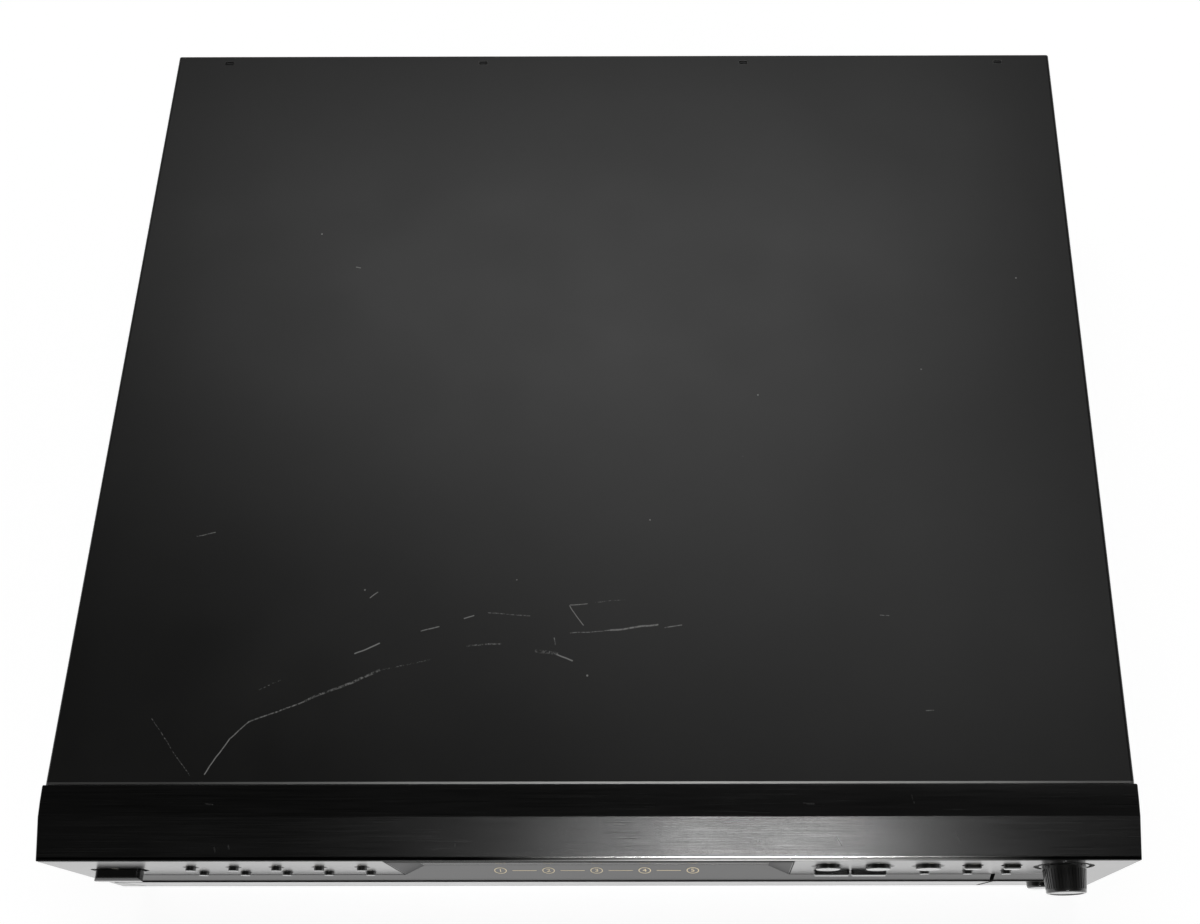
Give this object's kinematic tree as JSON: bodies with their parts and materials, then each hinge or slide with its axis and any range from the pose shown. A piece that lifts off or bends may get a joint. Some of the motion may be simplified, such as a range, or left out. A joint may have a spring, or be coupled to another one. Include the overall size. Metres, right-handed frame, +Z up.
{
  "type": "multi disc cd changer",
  "caption": "Low, wide hi-fi disc player: a front drawer carries a turning table of disc recesses past a lifting laser mechanism.",
  "frame": {"origin": "on the floor, under the middle of the player's bounding box, feet at z = 0", "axes": "+X to the right seen from the front, +Y from the front to the back, +Z up"},
  "size_m": [0.43, 0.4014, 0.11],
  "materials": {
    "cover_paint": "satin black baked paint, fine texture",
    "cap_black": "black, brushed along its length",
    "fascia_black": "high-gloss black moulding",
    "button_black": "gloss black",
    "knob_black": "black with a turned face",
    "window_smoke": "smoked clear acrylic",
    "chassis_steel": "zinc-plated sheet",
    "rear_paint": "matt black paint",
    "screw_black": "black oxide",
    "foot_plastic": "moulded black",
    "rubber": "matt rubber",
    "tray_plastic": "fine-grained black moulding",
    "table_plastic": "fine-grained dark moulding",
    "frame_plastic": "black moulding",
    "gear_white": "natural acetal",
    "motor_steel": "plated can",
    "bridge_steel": "plated sheet",
    "pickup_metal": "die cast",
    "rod_steel": "ground rod",
    "board_brown": "phenolic board",
    "capacitor_sleeve": "shrink sleeve",
    "transformer_core": "varnished laminations",
    "tube_glass": "display tube",
    "jack_plastic": "black moulding with plated shells",
    "belt_rubber": "ground rubber"
  },
  "bodies": {
    "casing": {"top_cover": "cover_paint", "base_chassis": "chassis_steel", "rear_panel": "rear_paint", "casing_screws": "screw_black", "feet": "foot_plastic", "foot_pads": "rubber", "cap_strip": "cap_black", "front_panel": "fascia_black", "display_window": "window_smoke", "display_tube": "tube_glass", "front_boards": "board_brown", "mechanism_frame": "frame_plastic", "loading_motor": "motor_steel", "loading_belt": "belt_rubber", "clamp_bridge": "bridge_steel", "main_board": "board_brown", "capacitors": "capacitor_sleeve", "power_transformer": "transformer_core", "line_out_jacks": "jack_plastic", "optical_output": "jack_plastic", "cord_gland": "foot_plastic"},
    "tray": {"tray": "tray_plastic", "tray_front": "fascia_black", "table_cap": "table_plastic", "table_motor": "motor_steel"},
    "disc_table": {"disc_table": "table_plastic"},
    "table_gear": {"table_gear": "gear_white"},
    "loading_gear": {"loading_gear": "gear_white"},
    "motor_pulley": {"motor_pulley": "gear_white"},
    "base_unit": {"base_unit": "frame_plastic", "drive_motors": "motor_steel", "guide_rod": "rod_steel"},
    "lift_slider": {"lift_slider": "gear_white"},
    "spindle": {"spindle_hub": "gear_white"},
    "pickup": {"optical_pickup": "pickup_metal"},
    "sled_gear": {"sled_gear": "gear_white"},
    "clamper": {"clamper": "gear_white"},
    "jog_knob": {"jog_knob": "knob_black"},
    "number_button_upper_1": {"number_button_upper_1": "button_black"},
    "number_button_upper_2": {"number_button_upper_2": "button_black"},
    "number_button_upper_3": {"number_button_upper_3": "button_black"},
    "number_button_upper_4": {"number_button_upper_4": "button_black"},
    "number_button_upper_5": {"number_button_upper_5": "button_black"},
    "number_button_lower_1": {"number_button_lower_1": "button_black"},
    "number_button_lower_2": {"number_button_lower_2": "button_black"},
    "number_button_lower_3": {"number_button_lower_3": "button_black"},
    "number_button_lower_4": {"number_button_lower_4": "button_black"},
    "number_button_lower_5": {"number_button_lower_5": "button_black"},
    "small_button_1": {"small_button_1": "button_black"},
    "small_button_2": {"small_button_2": "button_black"},
    "small_button_3": {"small_button_3": "button_black"},
    "transport_button_1": {"transport_button_1": "button_black"},
    "transport_button_2": {"transport_button_2": "button_black"},
    "transport_button_3": {"transport_button_3": "button_black"},
    "mode_button_1": {"mode_button_1": "button_black"},
    "mode_button_2": {"mode_button_2": "button_black"},
    "skip_button_back": {"skip_button_back": "button_black"},
    "skip_button_forward": {"skip_button_forward": "button_black"},
    "power_button": {"power_button": "button_black"},
    "open_close_button": {"open_close_button": "button_black"}
  },
  "joints": [
    {"name": "tray_slide", "type": "slide", "parent": "casing", "child": "tray", "axis": [0, -1, 0], "range_m": [0, 0.205]},
    {"name": "table_spin", "type": "hinge", "parent": "tray", "child": "disc_table", "pos_m": [-0.019, -0.00915, 0.05], "axis": [0, 0, 1], "continuous": true},
    {"name": "table_gear_spin", "type": "hinge", "parent": "tray", "child": "table_gear", "pos_m": [-0.019, -0.09925, 0.045], "axis": [0, 0, 1], "continuous": true},
    {"name": "loading_gear_spin", "type": "hinge", "parent": "casing", "child": "loading_gear", "pos_m": [-0.1369, -0.13215, 0.03], "axis": [0, 0, 1], "continuous": true},
    {"name": "motor_pulley_spin", "type": "hinge", "parent": "casing", "child": "motor_pulley", "pos_m": [-0.0889, -0.13215, 0.02], "axis": [0, 0, 1], "continuous": true},
    {"name": "base_lift", "type": "slide", "parent": "casing", "child": "base_unit", "axis": [0, 0, 1], "range_m": [0, 0.011]},
    {"name": "lift_slider_slide", "type": "slide", "parent": "casing", "child": "lift_slider", "axis": [0, 1, 0], "range_m": [0, 0.022]},
    {"name": "spindle_spin", "type": "hinge", "parent": "base_unit", "child": "spindle", "pos_m": [-0.019, 0.09635, 0.042], "axis": [0, 0, 1], "continuous": true},
    {"name": "pickup_slide", "type": "slide", "parent": "base_unit", "child": "pickup", "axis": [0, 1, 0], "range_m": [0, 0.035]},
    {"name": "sled_gear_spin", "type": "hinge", "parent": "base_unit", "child": "sled_gear", "pos_m": [-0.00295, 0.14485, 0.03], "axis": [0, 0, 1], "continuous": true},
    {"name": "clamper_spin", "type": "hinge", "parent": "casing", "child": "clamper", "pos_m": [-0.019, 0.09635, 0.06], "axis": [0, 0, 1], "continuous": true},
    {"name": "jog_knob_spin", "type": "hinge", "parent": "casing", "child": "jog_knob", "pos_m": [0.1892, -0.19515, 0.084], "axis": [0, -1, 0], "continuous": true},
    {"name": "number_button_upper_1_press", "type": "slide", "parent": "casing", "child": "number_button_upper_1", "axis": [0, 1, 0], "range_m": [0, 0.0008], "stiffness_N_per_m": 400},
    {"name": "number_button_upper_2_press", "type": "slide", "parent": "casing", "child": "number_button_upper_2", "axis": [0, 1, 0], "range_m": [0, 0.0008], "stiffness_N_per_m": 400},
    {"name": "number_button_upper_3_press", "type": "slide", "parent": "casing", "child": "number_button_upper_3", "axis": [0, 1, 0], "range_m": [0, 0.0008], "stiffness_N_per_m": 400},
    {"name": "number_button_upper_4_press", "type": "slide", "parent": "casing", "child": "number_button_upper_4", "axis": [0, 1, 0], "range_m": [0, 0.0008], "stiffness_N_per_m": 400},
    {"name": "number_button_upper_5_press", "type": "slide", "parent": "casing", "child": "number_button_upper_5", "axis": [0, 1, 0], "range_m": [0, 0.0008], "stiffness_N_per_m": 400},
    {"name": "number_button_lower_1_press", "type": "slide", "parent": "casing", "child": "number_button_lower_1", "axis": [0, 1, 0], "range_m": [0, 0.0008], "stiffness_N_per_m": 400},
    {"name": "number_button_lower_2_press", "type": "slide", "parent": "casing", "child": "number_button_lower_2", "axis": [0, 1, 0], "range_m": [0, 0.0008], "stiffness_N_per_m": 400},
    {"name": "number_button_lower_3_press", "type": "slide", "parent": "casing", "child": "number_button_lower_3", "axis": [0, 1, 0], "range_m": [0, 0.0008], "stiffness_N_per_m": 400},
    {"name": "number_button_lower_4_press", "type": "slide", "parent": "casing", "child": "number_button_lower_4", "axis": [0, 1, 0], "range_m": [0, 0.0008], "stiffness_N_per_m": 400},
    {"name": "number_button_lower_5_press", "type": "slide", "parent": "casing", "child": "number_button_lower_5", "axis": [0, 1, 0], "range_m": [0, 0.0008], "stiffness_N_per_m": 400},
    {"name": "small_button_1_press", "type": "slide", "parent": "casing", "child": "small_button_1", "axis": [0, 1, 0], "range_m": [0, 0.0008], "stiffness_N_per_m": 400},
    {"name": "small_button_2_press", "type": "slide", "parent": "casing", "child": "small_button_2", "axis": [0, 1, 0], "range_m": [0, 0.0008], "stiffness_N_per_m": 400},
    {"name": "small_button_3_press", "type": "slide", "parent": "casing", "child": "small_button_3", "axis": [0, 1, 0], "range_m": [0, 0.0008], "stiffness_N_per_m": 400},
    {"name": "transport_button_1_press", "type": "slide", "parent": "casing", "child": "transport_button_1", "axis": [0, 1, 0], "range_m": [0, 0.0008], "stiffness_N_per_m": 400},
    {"name": "transport_button_2_press", "type": "slide", "parent": "casing", "child": "transport_button_2", "axis": [0, 1, 0], "range_m": [0, 0.0008], "stiffness_N_per_m": 400},
    {"name": "transport_button_3_press", "type": "slide", "parent": "casing", "child": "transport_button_3", "axis": [0, 1, 0], "range_m": [0, 0.0008], "stiffness_N_per_m": 400},
    {"name": "mode_button_1_press", "type": "slide", "parent": "casing", "child": "mode_button_1", "axis": [0, 1, 0], "range_m": [0, 0.0008], "stiffness_N_per_m": 400},
    {"name": "mode_button_2_press", "type": "slide", "parent": "casing", "child": "mode_button_2", "axis": [0, 1, 0], "range_m": [0, 0.0008], "stiffness_N_per_m": 400},
    {"name": "skip_button_back_press", "type": "slide", "parent": "casing", "child": "skip_button_back", "axis": [0, 1, 0], "range_m": [0, 0.0008], "stiffness_N_per_m": 400},
    {"name": "skip_button_forward_press", "type": "slide", "parent": "casing", "child": "skip_button_forward", "axis": [0, 1, 0], "range_m": [0, 0.0008], "stiffness_N_per_m": 400},
    {"name": "power_button_press", "type": "slide", "parent": "casing", "child": "power_button", "axis": [0, 1, 0], "range_m": [0, 0.0012], "stiffness_N_per_m": 600},
    {"name": "open_close_button_press", "type": "slide", "parent": "casing", "child": "open_close_button", "axis": [0, 1, 0], "range_m": [0, 0.0012], "stiffness_N_per_m": 600}
  ],
  "couplings": [
    {"joint": "table_gear_spin", "follows": "table_spin", "ratio": -6.5},
    {"joint": "loading_gear_spin", "follows": "tray_slide", "rad_per_m": 83.333},
    {"joint": "motor_pulley_spin", "follows": "tray_slide", "rad_per_m": 333.33},
    {"joint": "lift_slider_slide", "follows": "base_lift", "ratio": 2},
    {"joint": "sled_gear_spin", "follows": "pickup_slide", "rad_per_m": -125}
  ]
}
